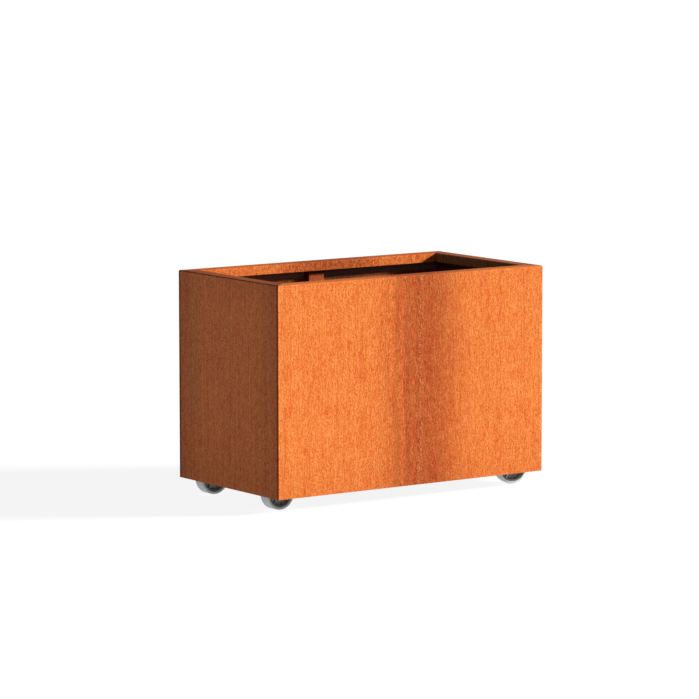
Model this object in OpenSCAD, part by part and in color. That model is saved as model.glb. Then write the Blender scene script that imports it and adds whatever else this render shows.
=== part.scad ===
// Rolling planter: a weathering steel box with a folded rim, on four swivel castors.
// Origin: on the ground, under the middle of the box. X runs along the box, Y from front to back,
// Z up. All sizes are in millimetres.

/* [Box] */
// Length of the box, left to right
box_l = 1000; // [700:10:1500]
// Depth of the box, front to back
box_w = 550; // [480:10:800]
// Height of the steel walls
box_h = 650; // [400:10:900]
// Thickness of the wall sheet
sheet = 2; // [1.5:0.5:3]
// Outside radius of the folds in the walls
fold_r = 4; // [3.5:0.5:6]
// Gap between the lower edge of the walls and the ground
skirt_gap = 45; // [35:1:60]

/* [Rim] */
// Width of the flat rim, seen from above
rim_w = 50; // [35:1:80]
// Height of the lip that is folded down from the rim
lip_h = 28; // [15:1:50]

/* [Stiffeners] */
// Width of the upright channel on each long wall
stiff_w = 60; // [30:1:80]
// Distance by which the channel stands off its wall
stiff_d = 25; // [15:1:33]
// Outside radius of the channel's folds
stiff_r = 4; // [3.5:0.5:6]
// Gap between the foot of the channel and the floor, for drainage
stiff_foot = 15; // [5:1:100]

/* [Floor] */
// Thickness of the floor sheet
floor_t = 3; // [2:0.5:5]
// Height of the floor's folded edges
floor_edge = 25; // [15:1:40]
// Outside radius of the floor's folds
floor_r = 6; // [5.5:0.5:8]
// Diameter of a drain hole
drain_d = 20; // [10:1:30]
// Number of drain holes along the box
drain_nx = 3; // [1:1:4]
// Number of drain holes across the box
drain_ny = 2; // [1:1:2]
// Distance between drain holes along the box
drain_px = 180; // [60:5:190]
// Distance between drain holes across the box
drain_py = 240; // [60:5:300]

/* [Bearers] */
// Width of the channel that carries two castors
bearer_w = 110; // [100:1:140]
// Height of the bearer, from castor plate to floor
bearer_h = 30; // [25:1:50]
// Thickness of the bearer's sheet
bearer_t = 3; // [2:0.5:5]
// Outside radius of the bearer's folds
bearer_r = 6; // [5.5:0.5:8]

/* [Wheels] */
// Diameter of the tyre
wheel_d = 100; // [80:1:125]
// Width of the tyre
wheel_w = 40; // [30:1:50]
// Thickness of the tyre
tyre_t = 8; // [5:0.5:12]
// Radius of the tyre's rounded edges
tyre_edge = 4; // [2:0.5:6]
// Thickness of the wheel centre's rim, under the tyre
centre_rim = 5; // [3:0.5:6]
// Depth by which the wheel centre's rim lies inside the tyre's side
rim_step = 1.5; // [0.5:0.5:3]
// Thickness of the web between hub and rim
web_t = 8; // [5:0.5:12]
// Thickness of a rib on the web
rib_t = 3; // [2:0.5:5]
// Height of a rib above the web
rib_h = 6; // [2:0.5:8]
// Number of ribs on each side
rib_count = 6; // [3:1:8]
// Diameter of the hub
hub_d = 32; // [26:1:36]

/* [Axles] */
// Diameter of the axle bolt
axle_d = 10; // [8:1:12]
// Wall of the steel sleeve that the wheel turns on
sleeve_wall = 2.5; // [1.5:0.5:3]
// Wall of the bush in the hub
bush_wall = 2.5; // [1.5:0.5:3]

/* [Castors] */
// Distance from the swivel axis to the axle, seen from above
trail = 36; // [32:1:45]
// Thickness of the pressed fork
fork_t = 4; // [3:0.5:5]
// Outside radius of the folds at the top of the fork
fork_r = 6; // [5.5:0.5:8]
// Radius of the rounded foot of each fork leg
leg_foot_r = 17; // [15:0.5:20]
// Gap between the tyre and each fork leg
leg_gap = 2; // [1.5:0.5:4]
// Gap between the tyre and the crown of the fork
crown_gap = 4; // [3.5:0.5:8]
// Diameter of the king pin
pin_d = 12; // [10:1:14]
// Radius of the ring of balls that carries the load
race_r = 26; // [24:1:30]
// Diameter of those balls
ball_d = 7; // [6:0.5:8]
// Number of those balls
ball_count = 14; // [8:1:16]
// Radius of the ring of small balls on the king pin's head
low_race_r = 11; // [10.5:0.5:12]
// Diameter of the small balls
low_ball_d = 4; // [3.5:0.5:4]
// Number of the small balls
low_ball_count = 12; // [8:1:12]
// Length of the castor plate, along Y
plate_l = 105; // [100:1:130]
// Width of the castor plate, along X
plate_w = 85; // [80:1:100]
// Thickness of the castor plate
plate_t = 4; // [3:0.5:6]
// Distance between the plate's bolts along Y
bolt_py = 80; // [76:1:86]
// Distance between the plate's bolts along X
bolt_px = 60; // [58:1:64]
// Diameter of the plate's bolts
bolt_d = 8; // [6:1:10]

/* [Castor directions] */
// Direction in which the front left castor trails
front_left_turn = 180; // [-180:5:180]
// Direction in which the front right castor trails
front_right_turn = -15; // [-180:5:180]
// Direction in which the back left castor trails
back_left_turn = 180; // [-180:5:180]
// Direction in which the back right castor trails
back_right_turn = 10; // [-180:5:180]

/* [Clearances] */
// Radial gap of a shaft that turns in its hole
run_fit = 0.05; // [0.02:0.01:0.1]
// Radial gap of a part pressed or screwed into another
seat_fit = 0.02; // [0.01:0.01:0.05]
// Gap round a ball in its groove
ball_fit = 0.3; // [0.2:0.05:0.4]
// Gap between a turning hub and the fork leg beside it
hub_play = 0.5; // [0.3:0.1:0.8]
// Radial gap of a bolt in a drilled hole
bolt_fit = 0.5; // [0.3:0.1:1]
// Gap between a swivelling wheel and the walls
swivel_gap = 4; // [3:0.5:20]
// Gap between each end of a bearer and the fold of the floor
bearer_gap = 0.5; // [0.2:0.1:2]

/* [Hidden] */
$fn = 96;
// Allowance by which a cutter runs past the face it cuts
past = 1;

// --- heights, from the ground up ---
wheel_r = wheel_d / 2;
crown_z = wheel_d + crown_gap;
crown_top = crown_z + fork_t;
fork_race_h = ball_d * 3 / 7;
race_gap = ball_d * 4 / 7;
ball_z = crown_top + fork_race_h + race_gap / 2;
plate_race_z = ball_z + race_gap / 2;
plate_race_h = 9;
plate_z = plate_race_z + plate_race_h;
mount_z = plate_z + plate_t;
floor_z = mount_z + bearer_h;
floor_top = floor_z + floor_t;
rim_z = skirt_gap + box_h;

// --- the king pin's lower head ---
low_gap = low_ball_d * 0.6;
head_r = low_race_r + 3;
head_t = 3.5;
head_top = crown_z - low_gap;
sink_r = pin_d / 2 + 2.5;
sink_h = 2.5;

// --- inside of the box, and places of the castors ---
inner_l = box_l - 2 * sheet;
inner_w = box_w - 2 * sheet;
swivel_reach = norm([trail + wheel_r, wheel_w / 2 - tyre_edge]);
castor_inset = ceil(sheet + swivel_reach + swivel_gap);
castor_x = box_l / 2 - castor_inset;
castor_y = box_w / 2 - castor_inset;

// --- fork and axle ---
leg_in = wheel_w / 2 + leg_gap;
leg_out = leg_in + fork_t;
crown_r = race_r + 7;
leg_back = 22;
leg_front = trail + 4;
leg_shoulder = 12;
sleeve_r = axle_d / 2 + seat_fit + sleeve_wall;
bush_in = sleeve_r + run_fit;
bush_out = bush_in + bush_wall;
hub_half = leg_in - hub_play;
centre_r = wheel_r - tyre_t;
hex_ratio = 2 / sqrt(3);
axle_af = axle_d * 1.7;
axle_head_h = axle_d * 0.64;
axle_nut_h = axle_d;
bolt_af = bolt_d * 13 / 8;
bolt_head_h = bolt_d * 5.3 / 8;
bolt_nut_h = bolt_d * 6.5 / 8;
thread_end = 2;
plate_corner = 10;
hole_fit = 0.1;

CORNERS = [
    ["front_left", [-1, -1], front_left_turn],
    ["front_right", [1, -1], front_right_turn],
    ["back_left", [-1, 1], back_left_turn],
    ["back_right", [1, 1], back_right_turn]
];
BOX_PARTS = [
    "front_panel", "back_panel", "left_panel", "right_panel", "front_stiffener", "back_stiffener",
    "floor_panel", "left_bearer", "right_bearer"
];
CASTOR_PARTS = [
    "castor_plate", "plate_bolts", "plate_nuts", "king_pin", "race_balls", "fork", "axle_bolt",
    "axle_nut", "axle_sleeve", "hub_bush", "wheel_centre", "tyre"
];

RUST = [0.87, 0.47, 0.24];
RUST_INSIDE = [0.35, 0.2, 0.12];
ZINC = [0.76, 0.77, 0.79];
STEEL = [0.55, 0.56, 0.58];
TYRE_GREY = [0.66, 0.68, 0.67];
CENTRE_GREY = [0.2, 0.21, 0.2];
NYLON = [0.85, 0.84, 0.8];

// ---------------------------------------------------------------- folded sheet

// Quarter ring of a fold in sheet of thickness t, in the first quadrant
module fold(r, t) {
    intersection() {
        difference() {
            circle(r);
            circle(r - t);
        }
        square(r);
    }
}

// U section, open along y = 0, with its web at y = d
module channel(w, d, t, r) {
    for (side = [0, 1]) mirror([side, 0]) {
        translate([w / 2 - t, 0]) square([t, d - r]);
        translate([w / 2 - r, d - r]) fold(r, t);
        translate([-past, d - t]) square([w / 2 - r + past, t]);
    }
}

// Section of one wall: x runs inward from its outer face, y up from its lower edge
module wall_section() {
    square([sheet, box_h - fold_r]);
    translate([fold_r, box_h - fold_r]) mirror([1, 0]) fold(fold_r, sheet);
    translate([fold_r, box_h - sheet]) square([rim_w - 2 * fold_r, sheet]);
    translate([rim_w - fold_r, box_h - fold_r]) fold(fold_r, sheet);
    translate([rim_w - sheet, box_h - lip_h]) square([sheet, lip_h - fold_r]);
}

// One wall with its rim and lip, mitred at both ends; it stands on the middle of its lower edge
module wall(len) {
    deep = rim_w + past;
    intersection() {
        translate([-len / 2, 0, 0]) rotate([90, 0, 90]) linear_extrude(len) wall_section();
        translate([0, 0, -past]) linear_extrude(box_h + 2 * past)
            polygon([[-len / 2, 0], [len / 2, 0], [len / 2 - deep, deep], [-len / 2 + deep, deep]]);
    }
}

module front_panel() {
    color(RUST) translate([0, -box_w / 2, skirt_gap]) wall(box_l);
}

module back_panel() {
    color(RUST) translate([0, box_w / 2, skirt_gap]) rotate(180) wall(box_l);
}

module left_panel() {
    color(RUST) translate([-box_l / 2, 0, skirt_gap]) rotate(-90) wall(box_w);
}

module right_panel() {
    color(RUST) translate([box_l / 2, 0, skirt_gap]) rotate(90) wall(box_w);
}

// Upright channel at the middle of a long wall, from above the floor to the fold of the rim
module stiffener() {
    foot_z = floor_top + stiff_foot;
    translate([0, -inner_w / 2, foot_z]) linear_extrude(rim_z - fold_r - foot_z)
        channel(stiff_w, stiff_d, sheet, stiff_r);
}

module front_stiffener() {
    color(RUST_INSIDE) stiffener();
}

module back_stiffener() {
    color(RUST_INSIDE) rotate(180) stiffener();
}

// Floor sheet with four edges folded down and its corners notched, drilled for drainage
module floor_panel() {
    flat_l = inner_l - 2 * floor_r;
    flat_w = inner_w - 2 * floor_r;
    color(RUST_INSIDE) difference() {
        union() {
            translate([-flat_l / 2, 0, floor_top - floor_edge]) rotate([90, 0, 90])
                linear_extrude(flat_l) channel(inner_w, floor_edge, floor_t, floor_r);
            for (end = [0, 1]) mirror([end, 0, 0])
                translate([inner_l / 2 - floor_r, flat_w / 2, floor_top - floor_edge])
                    rotate([90, 0, 0]) linear_extrude(flat_w) floor_end();
        }
        for (i = [0 : drain_nx - 1], j = [0 : drain_ny - 1])
            translate([
                (i - (drain_nx - 1) / 2) * drain_px,
                (j - (drain_ny - 1) / 2) * drain_py,
                floor_z - past
            ]) cylinder(d = drain_d, h = floor_t + 2 * past);
    }
}

// Section of the floor's folded end: the fold, and the edge below it
module floor_end() {
    translate([-past, floor_edge - floor_t]) square([past, floor_t]);
    translate([0, floor_edge - floor_r]) fold(floor_r, floor_t);
    translate([floor_r - floor_t, 0]) square([floor_t, floor_edge - floor_r]);
}

// Channel under the floor, open upward, drilled for two castors
module bearer() {
    len = inner_w - 2 * floor_r - 2 * bearer_gap;
    difference() {
        translate([0, len / 2, floor_z]) rotate([90, 0, 0]) linear_extrude(len)
            mirror([0, 1]) channel(bearer_w, bearer_h, bearer_t, bearer_r);
        for (y = [-castor_y, castor_y]) translate([0, y, 0]) at_bolts()
            translate([0, 0, mount_z - past])
                cylinder(r = bolt_d / 2 + bolt_fit, h = bearer_t + 2 * past);
    }
}

module left_bearer() {
    color(RUST_INSIDE) translate([-castor_x, 0, 0]) bearer();
}

module right_bearer() {
    color(RUST_INSIDE) translate([castor_x, 0, 0]) bearer();
}

// ---------------------------------------------------------------- castor, fixed side
// Each castor is drawn round its swivel axis, with the ground at z = 0.

module at_bolts() {
    for (x = [-bolt_px / 2, bolt_px / 2], y = [-bolt_py / 2, bolt_py / 2])
        translate([x, y, 0]) children();
}

// Flat plate with rounded corners, standing on z = 0
module rounded_plate(w, l, t, r) {
    translate([-w / 2 + r, -l / 2, 0]) cube([w - 2 * r, l, t]);
    translate([-w / 2, -l / 2 + r, 0]) cube([w, l - 2 * r, t]);
    for (x = [-w / 2 + r, w / 2 - r], y = [-l / 2 + r, l / 2 - r])
        translate([x, y, 0]) cylinder(r = r, h = t);
}

// Ring that cuts the groove for balls of diameter d
module ball_groove(ring_r, d) {
    rotate_extrude() translate([ring_r, 0]) circle(d / 2 + ball_fit);
}

// Plate with the pressed race below it, drilled for four bolts and the king pin
module castor_plate() {
    race_foot = race_r + 5;
    race_root = race_r + 8;
    color(ZINC) difference() {
        union() {
            translate([0, 0, plate_z]) rounded_plate(plate_w, plate_l, plate_t, plate_corner);
            rotate_extrude() polygon([
                [0, plate_race_z], [race_foot, plate_race_z], [race_foot, plate_race_z + 2],
                [race_root, plate_z], [race_root, plate_z + plate_t / 2], [0, plate_z + plate_t / 2]
            ]);
        }
        translate([0, 0, ball_z]) ball_groove(race_r, ball_d);
        translate([0, 0, plate_race_z - past])
            cylinder(r = pin_d / 2 + seat_fit, h = mount_z - plate_race_z + 2 * past);
        translate([0, 0, mount_z - sink_h])
            cylinder(r1 = pin_d / 2 + seat_fit, r2 = sink_r + seat_fit, h = sink_h);
        at_bolts() translate([0, 0, plate_z - past])
            cylinder(r = bolt_d / 2 + bolt_fit, h = plate_t + 2 * past);
    }
}

// Riveted pin that holds the fork: a wide head below the crown, a flush head in the plate
module king_pin() {
    color(ZINC) difference() {
        union() {
            translate([0, 0, head_top - head_t]) cylinder(r = head_r, h = head_t);
            translate([0, 0, head_top - head_t]) cylinder(d = pin_d, h = mount_z - head_top + head_t);
            translate([0, 0, mount_z - sink_h]) cylinder(r1 = pin_d / 2, r2 = sink_r, h = sink_h);
        }
        translate([0, 0, crown_z - low_gap / 2]) ball_groove(low_race_r, low_ball_d);
    }
}

// Hexagon of a bolt head or nut, standing on z = 0, with its free end chamfered
module hexagon(af, h) {
    corner_r = af * hex_ratio / 2;
    intersection() {
        cylinder(r = corner_r, h = h, $fn = 6);
        union() {
            cylinder(r = corner_r, h = h - (corner_r - af / 2));
            translate([0, 0, h - (corner_r - af / 2)])
                cylinder(r1 = corner_r, r2 = af / 2, h = corner_r - af / 2);
        }
    }
}

module plate_bolts() {
    color(ZINC) at_bolts() {
        translate([0, 0, plate_z]) mirror([0, 0, 1]) hexagon(bolt_af, bolt_head_h);
        translate([0, 0, plate_z - bolt_head_h / 2])
            cylinder(d = bolt_d, h = bolt_head_h / 2 + plate_t + bearer_t + bolt_nut_h + thread_end);
    }
}

module plate_nuts() {
    color(ZINC) at_bolts() translate([0, 0, mount_z + bearer_t]) difference() {
        hexagon(bolt_af, bolt_nut_h);
        translate([0, 0, -past]) cylinder(r = bolt_d / 2 + seat_fit, h = bolt_nut_h + 2 * past);
    }
}

// ---------------------------------------------------------------- castor, swivelling side
// Drawn trailing along +X; the axle lies along Y.

// Two rings of balls: the large ones carry the load, the small ones sit on the king pin's head
module race_balls() {
    color(STEEL) {
        for (i = [0 : ball_count - 1]) rotate(i * 360 / ball_count)
            translate([race_r, 0, ball_z]) sphere(d = ball_d);
        for (i = [0 : low_ball_count - 1]) rotate(i * 360 / low_ball_count)
            translate([low_race_r, 0, crown_z - low_gap / 2]) sphere(d = low_ball_d);
    }
}

// Point where a line from p touches the circle round c; side is -1 or 1
function touch(p, c, r, side) =
    let (v = p - c, a = atan2(v[1], v[0]) + side * acos(r / norm(v)))
    c + r * [cos(a), sin(a)];

// Side view of the fork: crown at the top, legs that narrow to a round foot at the axle
module fork_side() {
    axle = [trail, wheel_r];
    back = [-leg_back, crown_top - leg_shoulder];
    front = [leg_front, crown_top];
    polygon([
        [-leg_back, crown_top], front, touch(front, axle, leg_foot_r, -1), axle,
        touch(back, axle, leg_foot_r, 1), back
    ]);
    translate(axle) circle(leg_foot_r);
}

module fork() {
    tall = crown_top - wheel_r + leg_foot_r;
    long = leg_back + trail + leg_foot_r;
    color(ZINC) difference() {
        union() {
            intersection() {
                translate([-leg_back, 0, crown_top - tall]) rotate([90, 0, 90])
                    linear_extrude(long + past) channel(2 * leg_out, tall, fork_t, fork_r);
                translate([0, leg_out + past, 0]) rotate([90, 0, 0])
                    linear_extrude(2 * (leg_out + past)) fork_side();
            }
            translate([0, 0, crown_z]) cylinder(r = crown_r, h = fork_t);
            translate([0, 0, crown_z]) cylinder(r = race_r + 5, h = fork_t + fork_race_h);
        }
        translate([0, 0, ball_z]) ball_groove(race_r, ball_d);
        translate([0, 0, crown_z - low_gap / 2]) ball_groove(low_race_r, low_ball_d);
        translate([0, 0, crown_z - past])
            cylinder(r = pin_d / 2 + run_fit, h = fork_t + fork_race_h + 2 * past);
        at_axle() translate([0, 0, -leg_out - past])
            cylinder(r = axle_d / 2 + hole_fit, h = 2 * (leg_out + past));
    }
}

// Puts the axle's middle at the origin, with its +Z along -Y
module at_axle() {
    translate([trail, 0, wheel_r]) rotate([90, 0, 0]) children();
}

module axle_bolt() {
    color(ZINC) at_axle() {
        translate([0, 0, leg_out]) hexagon(axle_af, axle_head_h);
        translate([0, 0, -leg_out - axle_nut_h - thread_end])
            cylinder(d = axle_d, h = 2 * leg_out + axle_nut_h + thread_end + axle_head_h / 2);
    }
}

module axle_nut() {
    color(ZINC) at_axle() translate([0, 0, -leg_out]) mirror([0, 0, 1]) difference() {
        hexagon(axle_af, axle_nut_h);
        translate([0, 0, -past]) cylinder(r = axle_d / 2 + seat_fit, h = axle_nut_h + 2 * past);
    }
}

// Tube round the axle bolt
module tube(r_in, r_out, half) {
    at_axle() difference() {
        translate([0, 0, -half]) cylinder(r = r_out, h = 2 * half);
        translate([0, 0, -half - past]) cylinder(r = r_in, h = 2 * (half + past));
    }
}

// Steel tube that the bolt clamps between the fork legs
module axle_sleeve() {
    color(STEEL) tube(axle_d / 2 + seat_fit, sleeve_r, leg_in);
}

// ---------------------------------------------------------------- wheel

module hub_bush() {
    color(NYLON) tube(bush_in, bush_out, hub_half);
}

// Moulded centre: hub, thin web with ribs, and the rim that carries the tyre
module wheel_centre() {
    hub_in = bush_out + seat_fit;
    rim_half = wheel_w / 2 - rim_step;
    rim_in = centre_r - centre_rim;
    color(CENTRE_GREY) at_axle() {
        rotate_extrude() {
            translate([hub_in, -hub_half]) square([hub_d / 2 - hub_in, 2 * hub_half]);
            translate([hub_d / 2 - past, -web_t / 2]) square([rim_in - hub_d / 2 + 2 * past, web_t]);
            translate([rim_in, -rim_half]) square([centre_rim, 2 * rim_half]);
        }
        for (i = [0 : rib_count - 1]) rotate(i * 360 / rib_count)
            translate([hub_d / 2 - past, -rib_t / 2, -web_t / 2 - rib_h])
                cube([rim_in - hub_d / 2 + 2 * past, rib_t, web_t + 2 * rib_h]);
    }
}

// Half of the tyre's section: a band with a rounded outer edge
module tyre_section() {
    in_r = centre_r + seat_fit;
    for (side = [0, 1]) mirror([0, side]) {
        translate([in_r, -past]) square([wheel_r - in_r, wheel_w / 2 - tyre_edge + past]);
        translate([in_r, 0]) square([wheel_r - tyre_edge - in_r, wheel_w / 2]);
        translate([wheel_r - tyre_edge, wheel_w / 2 - tyre_edge]) circle(tyre_edge);
    }
}

module tyre() {
    color(TYRE_GREY) at_axle() rotate_extrude($fn = 128) tyre_section();
}

// ---------------------------------------------------------------- assembly

// Places what is bolted to the bearer at corner c
module at_corner(c) {
    translate([c[1][0] * castor_x, c[1][1] * castor_y, 0]) children();
}

// Places what swivels at corner c, turned to its direction
module at_castor(c) {
    at_corner(c) rotate(c[2]) children();
}

front_panel();
back_panel();
left_panel();
right_panel();
front_stiffener();
back_stiffener();
floor_panel();
left_bearer();
right_bearer();
for (c = CORNERS) {
    at_corner(c) castor_plate();
    at_corner(c) plate_bolts();
    at_corner(c) plate_nuts();
    at_corner(c) king_pin();
    at_castor(c) race_balls();
    at_castor(c) fork();
    at_castor(c) axle_bolt();
    at_castor(c) axle_nut();
    at_castor(c) axle_sleeve();
    at_castor(c) hub_bush();
    at_castor(c) wheel_centre();
    at_castor(c) tyre();
}
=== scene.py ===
"""Finishes, welds and studio for a rolling planter: a weathering steel box on four swivel castors.

The planter's solids come from the frame. This script gives each of them its finish, adds the weld beads that
hold the sheets together, and sets the floor, the lamps, the sky and the camera. Lengths are in metres.
"""

import logging
import math
from collections.abc import Sequence
from dataclasses import dataclass, field
from enum import Enum

import bmesh
import bpy
from mathutils import Matrix, Vector

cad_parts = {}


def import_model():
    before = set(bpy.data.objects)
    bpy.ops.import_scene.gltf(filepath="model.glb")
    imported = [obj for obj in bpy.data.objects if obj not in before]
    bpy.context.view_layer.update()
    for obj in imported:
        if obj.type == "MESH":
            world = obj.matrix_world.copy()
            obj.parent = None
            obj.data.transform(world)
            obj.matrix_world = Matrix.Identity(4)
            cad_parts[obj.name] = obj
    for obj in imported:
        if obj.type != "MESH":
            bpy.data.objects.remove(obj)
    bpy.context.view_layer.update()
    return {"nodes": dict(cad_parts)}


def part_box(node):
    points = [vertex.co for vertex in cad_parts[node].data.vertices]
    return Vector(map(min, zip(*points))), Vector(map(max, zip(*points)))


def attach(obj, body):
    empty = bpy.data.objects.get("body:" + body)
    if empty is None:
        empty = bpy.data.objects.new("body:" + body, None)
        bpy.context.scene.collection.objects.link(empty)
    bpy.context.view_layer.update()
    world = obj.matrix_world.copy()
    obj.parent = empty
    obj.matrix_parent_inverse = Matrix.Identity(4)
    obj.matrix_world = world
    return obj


LOG = logging.getLogger("planter")

Socket = bpy.types.NodeSocket
Colour = tuple[float, float, float]
Triple = tuple[float, float, float]
Value = Socket | float | Sequence[float]

WHITE: Colour = (1.0, 1.0, 1.0)
MM = 0.001

# The places of the colour sockets on a Mix node.
MIX_A, MIX_B, MIX_RESULT = 6, 7, 2

# The values that a noise seldom leaves, and the one round which it lies.
NOISE_SPAN = (0.3, 0.7)
NOISE_MIDDLE = 0.5

# From which to which share a face counts as turned one way.
TURNED = (0.5, 0.95)

# In the rust's grain: the marks drawn out downwards and their share, and the place and density of the pits.
DRAWN_CELLS: Triple = (0.9, 0.9, 0.26)
DRAWN_SHARE = 0.3
PIT_SHIFT: Triple = (31.7, 12.9, 7.3)
PIT_SCALE = 1.15


def from_display(red: int, green: int, blue: int) -> Colour:
    """Turns a colour as a screen shows it into the light values that shaders use.

    Args:
        red: Red from 0 to 255.
        green: Green from 0 to 255.
        blue: Blue from 0 to 255.

    Returns:
        The same colour, linear, each part from 0 to 1.
    """

    def part(byte: int) -> float:
        """Returns one part, linear."""
        share = byte / 255
        return share / 12.92 if share <= 0.04045 else ((share + 0.055) / 1.055) ** 2.4

    return part(red), part(green), part(blue)


# ---------------------------------------------------------------- node work


class Bench:
    """Adds the nodes of one material, node group or world, and links them."""

    def __init__(self, tree: bpy.types.NodeTree) -> None:
        """Keeps the tree that the nodes go into."""
        self.tree = tree

    def node(self, kind: str, **settings: object) -> bpy.types.Node:
        """Adds a node.

        Args:
            kind: The node's type name.
            **settings: Properties to set on it.

        Returns:
            The new node.
        """
        node = self.tree.nodes.new(kind)
        for name, value in settings.items():
            setattr(node, name, value)
        return node

    def put(self, socket: Socket, value: Value) -> None:
        """Feeds an input with another node's output, or with a constant.

        Args:
            socket: The input.
            value: An output socket, a number, a vector or a colour.
        """
        if isinstance(value, bpy.types.NodeSocket):
            self.tree.links.new(value, socket)
            return
        if socket.type == "RGBA":
            value = (*value, 1.0)
        socket.default_value = value

    def feed(self, node: bpy.types.Node, **inputs: Value) -> bpy.types.Node:
        """Feeds a node's inputs by name.

        Args:
            node: The node.
            **inputs: What each input takes; an underscore in a name stands for a space.

        Returns:
            The same node.
        """
        for name, value in inputs.items():
            self.put(node.inputs[name.replace("_", " ")], value)
        return node

    def fed(self, kind: str, *values: Value, **settings: object) -> bpy.types.Node:
        """Adds a node and feeds its first inputs.

        Args:
            kind: The node's type name.
            *values: What its first inputs take, in their order.
            **settings: Properties to set on it.

        Returns:
            The new node.
        """
        node = self.node(kind, **settings)
        for socket, value in zip(node.inputs, values):
            self.put(socket, value)
        return node

    def math(self, operation: str, a: Value, b: Value = 0.0) -> Socket:
        """Returns the result of a Math node."""
        return self.fed("ShaderNodeMath", a, b, operation=operation).outputs[0]

    def times(self, a: Value, b: Value) -> Socket:
        """Returns the product of two numbers."""
        return self.math("MULTIPLY", a, b)

    def away(self, value: Value, centre: float) -> Socket:
        """Returns how far a number is from a centre."""
        return self.math("ABSOLUTE", self.math("SUBTRACT", value, centre))

    def vector_math(self, operation: str, a: Value, b: Value) -> Socket:
        """Returns the vector result of a Vector Math node."""
        return self.fed("ShaderNodeVectorMath", a, b, operation=operation).outputs[0]

    def distance(self, a: Value, b: Value) -> Socket:
        """Returns how far two points lie apart."""
        return self.fed("ShaderNodeVectorMath", a, b, operation="DISTANCE").outputs["Value"]

    def combine(self, x: Value, y: Value, z: Value) -> Socket:
        """Returns a vector made of three values."""
        return self.fed("ShaderNodeCombineXYZ", x, y, z).outputs[0]

    def separate(self, vector: Socket) -> tuple[Socket, Socket, Socket]:
        """Returns the three values of a vector."""
        return tuple(self.fed("ShaderNodeSeparateXYZ", vector).outputs)

    def ease(
        self, value: Value, low: float, high: float, to_low: float = 0.0, to_high: float = 1.0
    ) -> Socket:
        """Eases smoothly from one value to another.

        Args:
            value: What drives the change.
            low: Where the change starts.
            high: Where it ends.
            to_low: Result at and below low.
            to_high: Result at and above high.

        Returns:
            The eased value.
        """
        numbers = (value, low, high, to_low, to_high)
        return self.fed("ShaderNodeMapRange", *numbers, interpolation_type="SMOOTHSTEP").outputs[0]

    def noise(self, vector: Socket, scale: float, detail: float = 2.0, roughness: float = 0.5) -> Socket:
        """Returns the value of a Noise Texture node, from 0 to 1 round 0.5."""
        node = self.node("ShaderNodeTexNoise", noise_dimensions="3D")
        return self.feed(node, Vector=vector, Scale=scale, Detail=detail, Roughness=roughness).outputs[0]

    def marks(self, place: Socket, counts: Triple, detail: float, roughness: float = 0.6) -> Socket:
        """Returns the value of a noise with so many marks to a unit of length along each axis."""
        return self.noise(self.vector_math("MULTIPLY", place, counts), 1.0, detail, roughness)

    def mix(self, share: Value, a: Value, b: Value, blend: str = "MIX") -> Socket:
        """Mixes two colours.

        Args:
            share: How much of the second colour, from 0 to 1.
            a: The first colour.
            b: The second colour.
            blend: Blend mode.

        Returns:
            The mixed colour.
        """
        node = self.fed("ShaderNodeMix", share, data_type="RGBA", blend_type=blend)
        self.put(node.inputs[MIX_A], a)
        self.put(node.inputs[MIX_B], b)
        return node.outputs[MIX_RESULT]

    def tint(self, share: Value, colour: Value, tint: Value) -> Socket:
        """Returns a colour that is multiplied by a tint as far as the share says."""
        return self.mix(share, colour, tint, "MULTIPLY")

    def group(self, tree: bpy.types.NodeTree, **inputs: Value) -> bpy.types.Node:
        """Places a node group and feeds its inputs by name."""
        return self.feed(self.node("ShaderNodeGroup", node_tree=tree), **inputs)

    def seen(self) -> Socket:
        """Tells the rays by which a surface is seen from those that light it.

        Returns:
            1 for rays of the camera, of a gloss or of glass, and 0 for all others.
        """
        path = self.node("ShaderNodeLightPath")
        direct = self.math("MAXIMUM", path.outputs["Is Camera Ray"], path.outputs["Is Glossy Ray"])
        return self.math("MAXIMUM", direct, path.outputs["Is Transmission Ray"])


class GroupMaker:
    """Makes a node group with named inputs and outputs."""

    def __init__(self, name: str) -> None:
        """Starts an empty group.

        Args:
            name: The group's name.
        """
        self.tree = bpy.data.node_groups.new(name, "ShaderNodeTree")
        self.bench = Bench(self.tree)
        self.source = self.bench.node("NodeGroupInput")
        self.sink = self.bench.node("NodeGroupOutput")

    def take(self, name: str, default: float | None = None) -> Socket:
        """Adds an input.

        Args:
            name: The input's name.
            default: The number that it takes by itself, or None where it takes a vector.

        Returns:
            The socket that gives its value.
        """
        kind = "NodeSocketVector" if default is None else "NodeSocketFloat"
        item = self.tree.interface.new_socket(name=name, in_out="INPUT", socket_type=kind)
        if default is not None:
            item.default_value = default
        return self.source.outputs[name]

    def give(self, name: str, value: Socket) -> None:
        """Adds a number as an output."""
        self.tree.interface.new_socket(name=name, in_out="OUTPUT", socket_type="NodeSocketFloat")
        self.bench.put(self.sink.inputs[name], value)


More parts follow.
